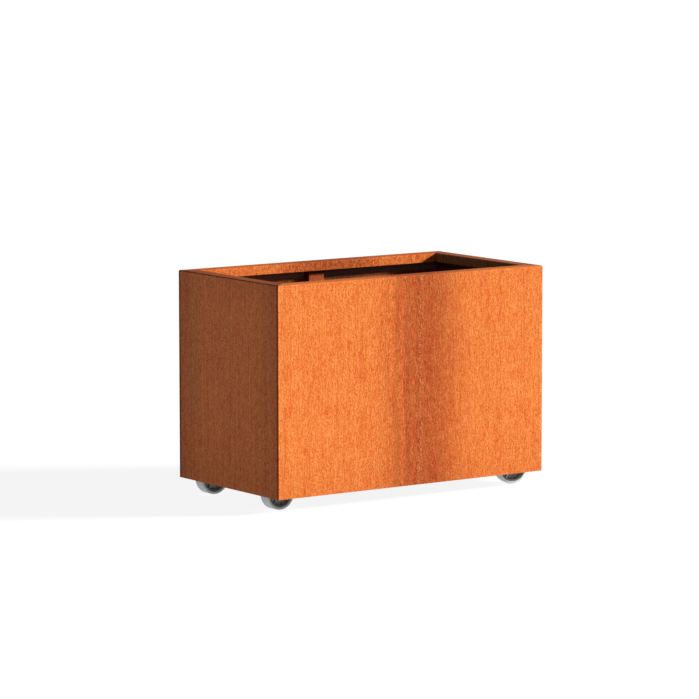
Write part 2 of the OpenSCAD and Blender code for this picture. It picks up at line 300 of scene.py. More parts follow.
def rust_grain_group() -> bpy.types.NodeTree:
    """Makes the grain of a rusted sheet: its tone, specks, mottled patches and upright streaks.

    Returns:
        The group.
    """
    maker = GroupMaker("rust_grain")
    bench = maker.bench
    place = maker.take("Vector")
    size = maker.take("Size", 0.006)
    stretch = maker.take("Stretch", 2.0)
    cells = bench.vector_math("DIVIDE", place, bench.combine(size, size, bench.times(size, stretch)))
    flecks = bench.noise(cells, 1.0, detail=4.0, roughness=0.6)
    drawn = bench.marks(cells, DRAWN_CELLS, detail=2.0)
    grain = bench.mix(DRAWN_SHARE, flecks, drawn)
    pits = bench.noise(bench.vector_math("ADD", cells, PIT_SHIFT), PIT_SCALE, detail=1.0)
    patches = bench.marks(place, (42.0, 42.0, 20.0), detail=2.5)
    streaks = bench.marks(place, (130.0, 130.0, 2.0), detail=3.0)
    masks = (
        ("Tone", grain, 0.37, 0.63),
        ("Specks", pits, 0.62, 0.74),
        ("Red patches", patches, NOISE_MIDDLE, 0.68),
        ("Pale patches", patches, NOISE_MIDDLE, 0.32),
        ("Dark streaks", streaks, NOISE_MIDDLE, 0.68),
        ("Pale streaks", streaks, NOISE_MIDDLE, 0.34),
    )
    for name, noise, start, full in masks:
        maker.give(name, bench.ease(noise, start, full))
    maker.give("Grain", grain)
    maker.give("Streaks", streaks)
    return maker.tree


def grime_group() -> bpy.types.NodeTree:
    """Makes the film of dust and the fine scuffs on hardware near the ground.

    Returns:
        The group.
    """
    maker = GroupMaker("grime")
    bench = maker.bench
    place = maker.take("Vector")
    size = maker.take("Size", 0.01)
    cells = bench.vector_math("DIVIDE", place, bench.combine(size, size, size))
    film = bench.noise(cells, 1.0, detail=4.0, roughness=0.6)
    scuffs = bench.marks(cells, (9.0, 9.0, 1.6), detail=2.0, roughness=0.5)
    maker.give("Film", bench.ease(film, 0.42, 0.68))
    maker.give("Scuffs", bench.ease(scuffs, 0.55, 0.7))
    return maker.tree


@dataclass
class SharedEffects:
    """The node groups that several finishes use."""

    rust_grain: bpy.types.NodeTree = field(default_factory=rust_grain_group)
    grime: bpy.types.NodeTree = field(default_factory=grime_group)


class Surface:
    """A new material with its bench and main shader, and with each point and direction on the piece."""

    def __init__(self, name: str) -> None:
        """Makes the material and its Principled shader.

        Args:
            name: The material's name.
        """
        self.material = bpy.data.materials.new(name)
        self.material.use_nodes = True
        self.material.node_tree.nodes.clear()
        self.bench = Bench(self.material.node_tree)
        self.shader = self.bench.node("ShaderNodeBsdfPrincipled")
        output = self.bench.node("ShaderNodeOutputMaterial")
        self.bench.put(output.inputs["Surface"], self.shader.outputs[0])
        point = self.bench.node("ShaderNodeTexCoord")
        self.place = point.outputs["Object"]
        self.facing = point.outputs["Normal"]

    def set(self, **inputs: Value) -> None:
        """Feeds the shader's inputs by name."""
        self.bench.feed(self.shader, **inputs)

    def bump(self, height: Socket, strength: float, distance: float) -> None:
        """Gives the surface relief.

        Args:
            height: Height from 0 to 1.
            strength: How much the relief shows, from 0 to 1.
            distance: Real height of the relief.
        """
        node = self.bench.node("ShaderNodeBump")
        self.bench.feed(node, Strength=strength, Distance=distance, Height=height)
        self.set(Normal=node.outputs[0])


# ---------------------------------------------------------------- the box's sizes


@dataclass(frozen=True)
class BoxSizes:
    """Main sizes of the steel box, read from the frame where it gives them."""

    half_length: float
    half_depth: float
    rim_z: float
    skirt_z: float
    floor_z: float
    sheet: float = 2 * MM
    fold: float = 4 * MM
    rim_width: float = 50 * MM

    @classmethod
    def from_frame(cls) -> "BoxSizes":
        """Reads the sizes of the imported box.

        Returns:
            The sizes.
        """
        low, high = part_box("front_panel")
        return cls(
            half_length=high.x,
            half_depth=-low.y,
            rim_z=high.z,
            skirt_z=low.z,
            floor_z=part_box("floor_panel")[1].z,
        )


# ---------------------------------------------------------------- finishes


class Axis(Enum):
    """The way along which a wall runs."""

    LENGTH = 0
    DEPTH = 1


@dataclass(frozen=True)
class WaterBand:
    """An upright band that water has darkened on a wall, with run marks in it.

    Each half is how far a mark reaches to a side, and each share is how strongly it shows.
    """

    centre: float
    core: float
    reach: float
    tint: Colour
    tint_lean: float = 0.11
    wander: float = 0.2
    halo: Colour = (0.92, 0.89, 0.9)
    halo_reach: float = 0.4
    runs: Triple = (360.0, 360.0, 40.0)
    run_share: float = 0.75
    salmon_lines: tuple[float, ...] = ()
    olive_lines: tuple[float, ...] = ()
    line_half: float = 10 * MM
    line_share: float = 0.8
    cream_line: float | None = None
    cream_half: float = 13 * MM
    cream_share: float = 0.42
    bends: Triple = (14.0, 14.0, 11.0)
    bend_reach: float = 40 * MM


@dataclass(frozen=True)
class Rust:
    """The tones of rust on one wall."""

    deep: Colour
    bright: Colour
    speck: Colour
    red_tint: Colour = (0.96, 0.82, 0.8)
    pale_tint: Colour = (1.0, 1.06, 1.0)
    dark_streak: Colour = (0.9, 0.8, 0.8)
    pale_streak: Colour = (1.02, 1.07, 1.08)


@dataclass(frozen=True)
class WeatheringSteel:
    """Rusted sheet: fine light and dark flecks, mottled tones, upright streaks and painted shade in the
    folds.

    Each tint multiplies the colour of one region: the ends, edges, foot and head of a wall, its outer fold,
    its lip, its inner face, and what faces up (the ledge) or to the sides. The edge tint is painted light: a
    highlight along one wall's corner and a dark line along another's. The fold, ledge and side tints are
    painted shade, the lip and inside tints are partly the sheet's own tone and partly painted shade, and the
    grey under the rim is painted shade.
    """

    rust: Rust
    axis: Axis = Axis.LENGTH
    band: WaterBand | None = None
    ends_start: float = 0.45
    ends_tint: Colour = WHITE
    # Painted light along a corner: a highlight on one wall, a dark line on another.
    painted_edge_light_and_shade: Colour = WHITE
    edge_width: float = 8 * MM
    foot_tint: Colour = (0.93, 0.92, 0.92)
    foot_reach: float = 160 * MM
    head_tint: Colour = WHITE
    head_reach: float = 120 * MM
    # Painted shade in the outer fold.
    painted_fold_shade: Colour = WHITE
    # Partly the lip's own tone and partly painted shade on the lips.
    lip_tone_and_painted_shade: Colour = WHITE
    # Partly a darker inner finish and partly painted shade on the inner faces.
    inside_tone_and_painted_shade: Colour = WHITE
    # Painted shade on faces turned up.
    painted_top_shade: Colour = WHITE
    # Painted shade on faces turned to the sides.
    painted_side_shade: Colour = WHITE
    grain_size: float = 3.1 * MM
    grain_stretch: float = 1.9
    speck_share: float = 0.25
    patch_share: float = 0.9
    streak_share: float = 0.8
    salmon_tint: Colour = (1.22, 1.23, 1.34)
    olive_tint: Colour = (0.82, 0.84, 0.76)
    cream: Colour = from_display(240, 170, 112)
    # Painted shade: a greyer colour on the inner faces just under the rim, its share and how far down it
    # reaches.
    painted_shade_grey: Colour = (0.62, 0.56, 0.48)
    painted_shade_share: float = 0.0
    painted_shade_drop: float = 45 * MM
    roughness: tuple[float, float] = (0.95, 0.78)
    specular: float = 0.12

    def make(self, name: str, effects: SharedEffects, box: BoxSizes) -> bpy.types.Material:
        """Builds the material.

        Args:
            name: The material's name.
            effects: The shared node groups.
            box: The box's sizes, by which its rim, edges and inner faces are found.

        Returns:
            The material.
        """
        surface = Surface(name)
        bench = surface.bench
        size, stretch = self.grain_size, self.grain_stretch
        grain = bench.group(effects.rust_grain, Vector=surface.place, Size=size, Stretch=stretch)
        x, y, z = bench.separate(surface.place)
        along = (x, y)[self.axis.value]
        half = (box.half_length, box.half_depth)[self.axis.value]
        colour = self.sheet_colour(bench, grain)
        if self.band:
            colour = self.banded(surface, colour, along, grain)
        reach = bench.math("ABSOLUTE", along)
        # Of these, the edges' tint is painted light: a highlight along one wall's corner, a dark line along
        # another's.
        regions = (
            (reach, self.ends_start * half, half, self.ends_tint),
            (reach, half - self.edge_width, half - 0.4 * self.edge_width, self.painted_edge_light_and_shade),
            (z, box.skirt_z + self.foot_reach, box.skirt_z, self.foot_tint),
            (z, box.rim_z - self.head_reach, box.rim_z, self.head_tint),
        )
        for where, start, full, tint in regions:
            colour = bench.tint(bench.ease(where, start, full), colour, tint)
        colour = self.shaded(surface, colour, (x, y, z), box)
        roughness = bench.ease(grain.outputs["Grain"], *NOISE_SPAN, *self.roughness)
        surface.set(Base_Color=colour, Roughness=roughness, Specular_IOR_Level=self.specular)
        surface.bump(grain.outputs["Grain"], strength=0.3, distance=0.4 * MM)
        return surface.material

    def sheet_colour(self, bench: Bench, grain: bpy.types.Node) -> Socket:
        """Colours the sheet away from bands, edges and folds.

        Args:
            bench: The material's bench.
            grain: The grain of the rust.

        Returns:
            The colour.
        """
        rust = self.rust
        colour = bench.mix(grain.outputs["Tone"], rust.deep, rust.bright)
        layers = (
            ("Red patches", self.patch_share, rust.red_tint),
            ("Pale patches", self.patch_share, rust.pale_tint),
            ("Dark streaks", self.streak_share, rust.dark_streak),
            ("Pale streaks", self.streak_share, rust.pale_streak),
        )
        for mask, share, tint in layers:
            colour = bench.tint(bench.times(grain.outputs[mask], share), colour, tint)
        return bench.mix(bench.times(grain.outputs["Specks"], self.speck_share), colour, rust.speck)

    def banded(self, surface: Surface, colour: Socket, along: Socket, grain: bpy.types.Node) -> Socket:
        """Adds the band that water has left.

        Args:
            surface: The material that is being made.
            colour: The sheet's colour.
            along: How far along the wall a point lies.
            grain: The grain of the rust.

        Returns:
            The colour with the band and its run marks.
        """
        band, bench = self.band, surface.bench
        offset = bench.away(along, band.centre)
        sway = bench.times(bench.math("SUBTRACT", grain.outputs["Streaks"], NOISE_MIDDLE), band.wander)
        depth = bench.ease(bench.math("ADD", offset, sway), band.reach, band.core)
        leans = (1 - band.tint_lean, 1 + band.tint_lean)
        darker, paler = (tuple(lean * part for part in band.tint) for lean in leans)
        colour = bench.tint(depth, colour, bench.mix(grain.outputs["Tone"], darker, paler))
        colour = bench.tint(bench.ease(offset, band.halo_reach, 0.0), colour, band.halo)
        fine = bench.marks(surface.place, band.runs, detail=2.0)
        runs = bench.times(bench.ease(offset, band.halo_reach, band.core), band.run_share)
        for full, tint in ((0.62, self.salmon_tint), (0.38, self.olive_tint)):
            mask = bench.times(runs, bench.ease(fine, NOISE_MIDDLE, full))
            colour = bench.tint(mask, colour, tint)
        bends = bench.math("SUBTRACT", bench.marks(surface.place, band.bends, detail=3.0), NOISE_MIDDLE)
        bent = bench.math("ADD", along, bench.times(bends, band.bend_reach))
        broken = bench.times(bench.ease(fine, 0.4, 0.6), band.line_share)
        for lines, tint in ((band.salmon_lines, self.salmon_tint), (band.olive_lines, self.olive_tint)):
            for line in lines:
                mask = bench.times(self.line(bench, bent, line, band.line_half), broken)
                colour = bench.tint(mask, colour, tint)
        if band.cream_line is not None:
            mask = self.line(bench, bent, band.cream_line, band.cream_half)
            dots = bench.times(bench.ease(grain.outputs["Grain"], NOISE_MIDDLE, 0.6), band.cream_share)
            colour = bench.mix(bench.times(mask, dots), colour, self.cream)
        return colour

    @staticmethod
    def line(bench: Bench, along: Socket, centre: float, half: float) -> Socket:
        """Returns a mask that is 1 on an upright line and fades to 0 at its sides."""
        return bench.ease(bench.away(along, centre), half, 0.2 * half)

    def shaded(
        self, surface: Surface, colour: Socket, point: tuple[Socket, Socket, Socket], box: BoxSizes
    ) -> Socket:
        """Paints shade on the inner faces, the lips, the folds, the flat rim and the side faces; inner faces
        and lips also get their own tones.

        Args:
            surface: The material that is being made.
            colour: The wall's colour.
            point: The three places of a point on it.
            box: The box's sizes.

        Returns:
            The colour with these tones and this painted shade.
        """
        bench = surface.bench
        x, y, z = point
        sheet, fold, rim, top = box.sheet, box.fold, box.rim_width, box.rim_z
        from_end = bench.math("SUBTRACT", box.half_length, bench.math("ABSOLUTE", x))
        from_side = bench.math("SUBTRACT", box.half_depth, bench.math("ABSOLUTE", y))
        inward = bench.math("MINIMUM", from_end, from_side)
        behind = bench.ease(inward, 0.4 * sheet, 0.8 * sheet)
        below_rim = bench.ease(z, top - 0.5 * sheet, top - 0.9 * sheet)
        within = bench.times(behind, below_rim)
        # Partly a darker inner finish and partly painted shade on the inner faces.
        colour = bench.tint(within, colour, self.inside_tone_and_painted_shade)
        # The film mixed in here is painted shade: a greyer colour on the inner faces just under the rim.
        under_rim = bench.ease(inward, 0.5 * rim, 0.3 * rim)
        painted_shade_band = bench.ease(z, top - 1.35 * self.painted_shade_drop, top - self.painted_shade_drop)
        film = bench.times(bench.times(within, painted_shade_band), bench.times(under_rim, self.painted_shade_share))
        colour = bench.mix(film, colour, self.painted_shade_grey)
        # Partly the lip's own tone and partly painted shade on the lips.
        at_lip = bench.ease(inward, rim - 0.7 * sheet, rim - 0.3 * sheet)
        lip_tone_and_painted_shade = tuple(lip / inside for lip, inside in zip(self.lip_tone_and_painted_shade, self.inside_tone_and_painted_shade))
        colour = bench.tint(bench.times(at_lip, below_rim), colour, lip_tone_and_painted_shade)
        # Painted shade in the outer fold along the top.
        near_top = bench.ease(z, top - 0.9 * fold, top - 0.6 * fold)
        near_face = bench.ease(inward, 0.85 * fold, 0.6 * fold)
        colour = bench.tint(bench.times(near_top, near_face), colour, self.painted_fold_shade)
        # Painted shade on faces turned to the sides.
        side_normal, _, up_normal = bench.separate(surface.facing)
        side = bench.ease(bench.math("ABSOLUTE", side_normal), *TURNED)
        colour = bench.tint(side, colour, self.painted_side_shade)
        # Painted shade on faces turned up.
        return bench.tint(bench.ease(up_normal, *TURNED), colour, self.painted_top_shade)


@dataclass(frozen=True)
class WeldSteel:
    """Weld metal that has rusted with the sheets: darker and smoother, with blue-brown heat marks."""

    body: Colour
    tempered: Colour
    specular: float = 0.3
    grain_size: float = 2.5 * MM
    roughness: tuple[float, float] = (0.7, 0.5)

    def make(self, name: str, effects: SharedEffects) -> bpy.types.Material:
        """Builds the material.

        Args:
            name: The material's name.
            effects: The shared node groups.

        Returns:
            The material.
        """
        surface = Surface(name)
        bench = surface.bench
        grain = bench.group(effects.rust_grain, Vector=surface.place, Size=self.grain_size, Stretch=1.0)
        heat = bench.ease(bench.noise(surface.place, scale=90.0), 0.45, 0.65)
        colour = bench.mix(heat, self.body, self.tempered)
        surface.set(
            Base_Color=bench.mix(grain.outputs["Specks"], colour, self.body),
            Roughness=bench.ease(grain.outputs["Grain"], *NOISE_SPAN, *self.roughness),
            Specular_IOR_Level=self.specular,
        )
        surface.bump(grain.outputs["Grain"], strength=0.3, distance=0.15 * MM)
        return surface.material


@dataclass(frozen=True)
class PlatedSteel:
    """Zinc-plated or ground steel: bright metal with a cloudy film and fine scuffs."""

    body: Colour
    film: Colour
    roughness: float
    film_share: float = 0.5
    film_roughness: float = 0.35
    scuff_gloss: float = 0.06
    cloud_size: float = 9 * MM

    def make(self, name: str, effects: SharedEffects) -> bpy.types.Material:
        """Builds the material.

        Args:
            name: The material's name.
            effects: The shared node groups.

        Returns:
            The material.
        """
        surface = Surface(name)
        bench = surface.bench
        grime = bench.group(effects.grime, Vector=surface.place, Size=self.cloud_size)
        film = bench.times(grime.outputs["Film"], self.film_share)
        rough = bench.math("ADD", bench.times(film, self.film_roughness), self.roughness)
        surface.set(
            Base_Color=bench.mix(film, self.body, self.film),
            Metallic=bench.ease(film, 0.0, 0.5, to_low=0.9, to_high=0.5),
            Roughness=bench.math("SUBTRACT", rough, bench.times(grime.outputs["Scuffs"], self.scuff_gloss)),
        )
        surface.bump(grime.outputs["Scuffs"], strength=0.15, distance=0.05 * MM)
        return surface.material


@dataclass(frozen=True)
class Moulded:
    """Moulded rubber or plastic: dusty film, fine grain, painted shade on side faces and a hub's rim."""

    body: Colour
    dust: Colour
    roughness: float
    specular: float = 0.35
    dust_share: float = 0.3
    dust_roughness: float = 0.3
    cloud_size: float = 14 * MM
    # Painted shade on side faces.
    painted_side_shade: Colour = WHITE
    side_turn: tuple[float, float] = (0.8, 0.93)
    hub: Triple | None = None
    # Painted shade of the recess on the rim round the hub.
    painted_recess_shade: Colour = (0.35, 0.35, 0.36)
    web_reach: float = 37.5 * MM
    rim_reach: float = 41 * MM

    def make(self, name: str, effects: SharedEffects) -> bpy.types.Material:
        """Builds the material.

        Args:
            name: The material's name.
            effects: The shared node groups.

        Returns:
            The material.
        """
        surface = Surface(name)
        bench = surface.bench
        grime = bench.group(effects.grime, Vector=surface.place, Size=self.cloud_size)
        dust = bench.times(grime.outputs["Film"], self.dust_share)
        # Painted shade on the side faces.
        _, depth_normal, _ = bench.separate(surface.facing)
        side = bench.ease(bench.math("ABSOLUTE", depth_normal), *self.side_turn)
        colour = bench.tint(side, bench.mix(dust, self.body, self.dust), self.painted_side_shade)
        # Painted shade of the recess on the rim round the hub.
        if self.hub is not None:
            rim = bench.ease(bench.distance(surface.place, self.hub), self.web_reach, self.rim_reach)
            colour = bench.tint(rim, colour, self.painted_recess_shade)
        surface.set(
            Base_Color=colour,
            Roughness=bench.math("ADD", bench.times(dust, self.dust_roughness), self.roughness),
            Specular_IOR_Level=self.specular,
        )
        grain = bench.noise(surface.place, scale=1400.0, roughness=0.6)
        surface.bump(grain, strength=0.2, distance=0.05 * MM)
        return surface.material


class Finish(Enum):
    """The finishes of the planter."""

    FRONT_WALL = "front_wall_steel"
    BACK_WALL = "back_wall_steel"
    LEFT_WALL = "left_wall_steel"
    RIGHT_WALL = "right_wall_steel"
    STIFFENER = "stiffener_steel"
    INNER = "inner_steel"
    WELD = "weld_steel"
    SEAM = "ground_seam_steel"
    ZINC_PLATE = "zinc_plate"
    ZINC_FASTENER = "zinc_fastener"
    BEARING = "bearing_steel"
    NYLON = "hub_nylon"
    CENTRE = "wheel_centre_plastic"
    TYRE = "grey_tyre"


class FinishBook:
    """Builds the finishes and lays them on the pieces; only the wheel centres each have their own."""

    SUNNY = Rust(
        deep=from_display(223, 100, 23), bright=from_display(255, 156, 84), speck=from_display(192, 82, 30)
    )
    MOTTLED = Rust(
        deep=from_display(218, 84, 14), bright=from_display(255, 164, 88), speck=from_display(168, 70, 28)
    )
    # Painted light: a lighter, bluer copy of the rust for the wall that lies in shade.
    SHADE_SIDE_PAINTED_LIGHTER = Rust(
        deep=from_display(210, 100, 47),
        bright=from_display(244, 154, 97),
        speck=from_display(168, 76, 50),
        red_tint=(0.97, 0.8, 0.9),
        dark_streak=(0.83, 0.82, 0.83),
        pale_streak=(1.16, 1.17, 1.16),
    )
    # Painted shade: a darker copy of the rust for the wall that the sun lights most.
    SUN_SIDE_PAINTED_DARKER = Rust(
        deep=from_display(188, 83, 19), bright=from_display(214, 131, 69), speck=from_display(160, 68, 24)
    )
    BROWN = Rust(
        deep=from_display(156, 68, 30), bright=from_display(202, 106, 58), speck=from_display(120, 56, 36)
    )
    DULL = Rust(
        deep=from_display(84, 56, 40), bright=from_display(122, 84, 60), speck=from_display(66, 46, 36)
    )
    FRONT_BAND = WaterBand(
        centre=0.035,
        core=0.025,
        reach=0.195,
        tint=(0.64, 0.5, 0.53),
        salmon_lines=(-0.085, -0.04, 0.002),
        olive_lines=(-0.062, -0.023, 0.022),
        cream_line=0.026,
    )
    BACK_BAND = WaterBand(centre=0.04, core=0.08, reach=0.24, tint=(0.64, 0.56, 0.58))

    def __init__(self, box: BoxSizes) -> None:
        """Makes the materials.

        Args:
            box: The box's sizes.
        """
        self.effects = SharedEffects()
        walls = {
            Finish.FRONT_WALL: WeatheringSteel(
                self.SUNNY,
                band=self.FRONT_BAND,
                grain_size=2.8 * MM,
                grain_stretch=2.1,
                # Painted highlight along the front's corner.
                painted_edge_light_and_shade=(1.05, 1.2, 1.6),
                # Painted shade inside, on the lip and on the top; the inside is also a darker inner finish.
                inside_tone_and_painted_shade=(0.35, 0.45, 0.6),
                lip_tone_and_painted_shade=(0.3, 0.4, 0.6),
                painted_top_shade=(0.88, 0.88, 1.0),
            ),
            Finish.BACK_WALL: WeatheringSteel(
                self.MOTTLED,
                band=self.BACK_BAND,
                ends_tint=(0.9, 0.82, 0.72),
                grain_size=3.8 * MM,
                grain_stretch=1.5,
                speck_share=0.3,
                # Inside: a darker inner finish with painted shade; the lip keeps its own lit tone; the top
                # and the grey under the rim are painted shade.
                inside_tone_and_painted_shade=(0.7, 0.8, 1.0),
                lip_tone_and_painted_shade=(1.06, 0.98, 0.96),
                painted_top_shade=(0.86, 0.74, 0.74),
                painted_shade_share=0.8,
            ),
            Finish.LEFT_WALL: WeatheringSteel(
                self.SHADE_SIDE_PAINTED_LIGHTER,
                axis=Axis.DEPTH,
                ends_tint=(0.78, 0.78, 0.84),
                head_tint=(0.92, 0.92, 0.94),
                # Painted dark line along the left wall's corner.
                painted_edge_light_and_shade=(0.5, 0.3, 0.15),
                edge_width=13 * MM,
                # Painted shade in the outer fold.
                painted_fold_shade=(0.5, 0.45, 0.45),
                # Painted shade inside, on the lip and on the top; the inside is also a darker inner finish.
                inside_tone_and_painted_shade=(0.38, 0.46, 0.6),
                lip_tone_and_painted_shade=(0.3, 0.4, 0.6),
                painted_top_shade=(0.43, 0.36, 0.25),
            ),
            Finish.RIGHT_WALL: WeatheringSteel(
                self.SUN_SIDE_PAINTED_DARKER,
                axis=Axis.DEPTH,
                ends_tint=(0.88, 0.86, 0.88),
                # Painted shade in the colour of sky light inside, on the lip and on the top.
                inside_tone_and_painted_shade=(0.26, 0.55, 1.9),
                lip_tone_and_painted_shade=(0.59, 1.15, 2.5),
                painted_top_shade=(0.72, 0.8, 1.3),
            ),
            # Painted shade on the stiffeners' side faces.
            Finish.STIFFENER: WeatheringSteel(self.BROWN, painted_side_shade=(0.35, 0.35, 0.35)),
            Finish.INNER: WeatheringSteel(self.DULL),
        }
        hardware = {
            Finish.WELD: WeldSteel(body=from_display(150, 82, 46), tempered=from_display(110, 66, 50)),
            Finish.SEAM: WeldSteel(
                body=from_display(182, 96, 52), tempered=from_display(160, 84, 46), specular=0.1
            ),
            Finish.ZINC_PLATE: PlatedSteel(body=(0.72, 0.73, 0.75), film=(0.42, 0.42, 0.41), roughness=0.34),
            Finish.ZINC_FASTENER: PlatedSteel(
                body=(0.78, 0.78, 0.79),
                film=(0.45, 0.45, 0.44),
                roughness=0.26,
                film_share=0.3,
                cloud_size=5 * MM,
            ),
            Finish.BEARING: PlatedSteel(
                body=(0.6, 0.6, 0.61),
                film=(0.3, 0.28, 0.25),
                roughness=0.12,
                film_share=0.25,
                cloud_size=4 * MM,
            ),
            Finish.NYLON: Moulded(body=(0.72, 0.7, 0.64), dust=(0.5, 0.47, 0.42), roughness=0.4),
            Finish.TYRE: Moulded(
                body=(0.88, 0.92, 0.95),
                dust=(0.76, 0.76, 0.74),
                roughness=0.6,
                specular=0.3,
                dust_share=0.25,
                # Painted shade on the tyre's side faces.
                painted_side_shade=(0.8, 0.78, 0.7),
            ),
        }
        made = {finish: steel.make(finish.value, self.effects, box) for finish, steel in walls.items()}
        made |= {finish: kind.make(finish.value, self.effects) for finish, kind in hardware.items()}
        self.materials = made

    def wheel_centre(self, corner: str, hub: Vector) -> bpy.types.Material:
        """Makes the finish of one wheel's centre: grey web and ribs inside a rim with painted shade.

        Args:
            corner: The castor's corner.
            hub: The middle of its wheel.

        Returns:
            The material.
        """
        centre = Moulded(
            body=(0.38, 0.39, 0.37),
            dust=(0.62, 0.62, 0.6),
            roughness=0.5,
            specular=0.3,
            dust_share=0.4,
            hub=tuple(hub),
        )
        return centre.make(f"{Finish.CENTRE.value}_{corner}", self.effects)

    def lay(self, piece: bpy.types.Object, finish: Finish) -> None:
        """Puts a finish on a piece."""
        self.dress(piece, self.materials[finish])

    @staticmethod
    def dress(piece: bpy.types.Object, material: bpy.types.Material) -> None:
        """Puts a material on every slot of a piece.

        Args:
            piece: The piece.
            material: The material.
        """
        if not piece.material_slots:
            piece.data.materials.append(material)
        for slot in piece.material_slots:
            slot.material = material
        LOG.info("%s: %s", piece.name, material.name)


# ---------------------------------------------------------------- welds


class Welder:
    """Lays weld beads into one mesh, which becomes one piece."""

    SIDES = 8
    RIPPLE = 0.14
    END = 0.5
    FEWEST_RIPPLES = 3

    def __init__(self, name: str) -> None:
        """Starts an empty mesh for a piece of that name."""
        self.name = name
        self.mesh = bmesh.new()

    def bead(
        self, start: Vector, end: Vector, face: Vector, width: float, height: float, pitch: float
    ) -> None:
        """Lays one bead with its ripples.

        Args:
            start: Where the bead starts.
            end: Where it ends.
            face: Direction out of the joint, square to the bead.
            width: Half of the bead's width.
            height: Half of its thickness.
            pitch: Distance between ripples.
        """
        along = end - start
        rings = 2 * max(self.FEWEST_RIPPLES, round(along.length / pitch))
        ring = bmesh.ops.create_circle(self.mesh, cap_ends=True, segments=self.SIDES, radius=1.0)["verts"]
        bmesh.ops.scale(self.mesh, vec=(self.END, self.END, 1.0), verts=ring)
        made = list(ring)
        edges = list({edge for vert in ring for edge in vert.link_edges})
        for step in range(rings):
            grown = bmesh.ops.extrude_edge_only(self.mesh, edges=edges)["geom"]
            ring = [part for part in grown if isinstance(part, bmesh.types.BMVert)]
            edges = [part for part in grown if isinstance(part, bmesh.types.BMEdge)]
            bmesh.ops.translate(self.mesh, vec=(0.0, 0.0, 1 / rings), verts=ring)
            grow = self.ring_scale(step, rings)
            bmesh.ops.scale(self.mesh, vec=(grow, grow, 1.0), verts=ring)
            made += ring
        bmesh.ops.contextual_create(self.mesh, geom=edges)
        side = along.normalized().cross(face)
        turn = Matrix((side * width, face * height, along)).transposed().to_4x4()
        bmesh.ops.transform(self.mesh, matrix=Matrix.Translation(start) @ turn, verts=made)

    def ring_scale(self, step: int, last: int) -> float:
        """Gives the bead its rounded ends and its ripples.

        Args:
            step: Which ring comes next.
            last: How many rings there are.

        Returns:
            By how much the bead grows or shrinks from one ring to the next.
        """
        if step == 0:
            return 1 / self.END
        if step == last - 1:
            return self.END
        return 1 / (1 - self.RIPPLE) if step % 2 == 0 else 1 - self.RIPPLE

    def finish(self, body: str, slot: str) -> bpy.types.Object:
        """Makes the piece.

        Args:
            body: The body that it rides on.
            slot: Not used.

        Returns:
            The finished piece.
        """
        bmesh.ops.recalc_face_normals(self.mesh, faces=self.mesh.faces)
        data = bpy.data.meshes.new(self.name)
        self.mesh.to_mesh(data)
        self.mesh.free()
        data.shade_smooth()
        piece = bpy.data.objects.new(self.name, data)
        bpy.context.scene.collection.objects.link(piece)
        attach(piece, body)
        return piece


# ---------------------------------------------------------------- the planter


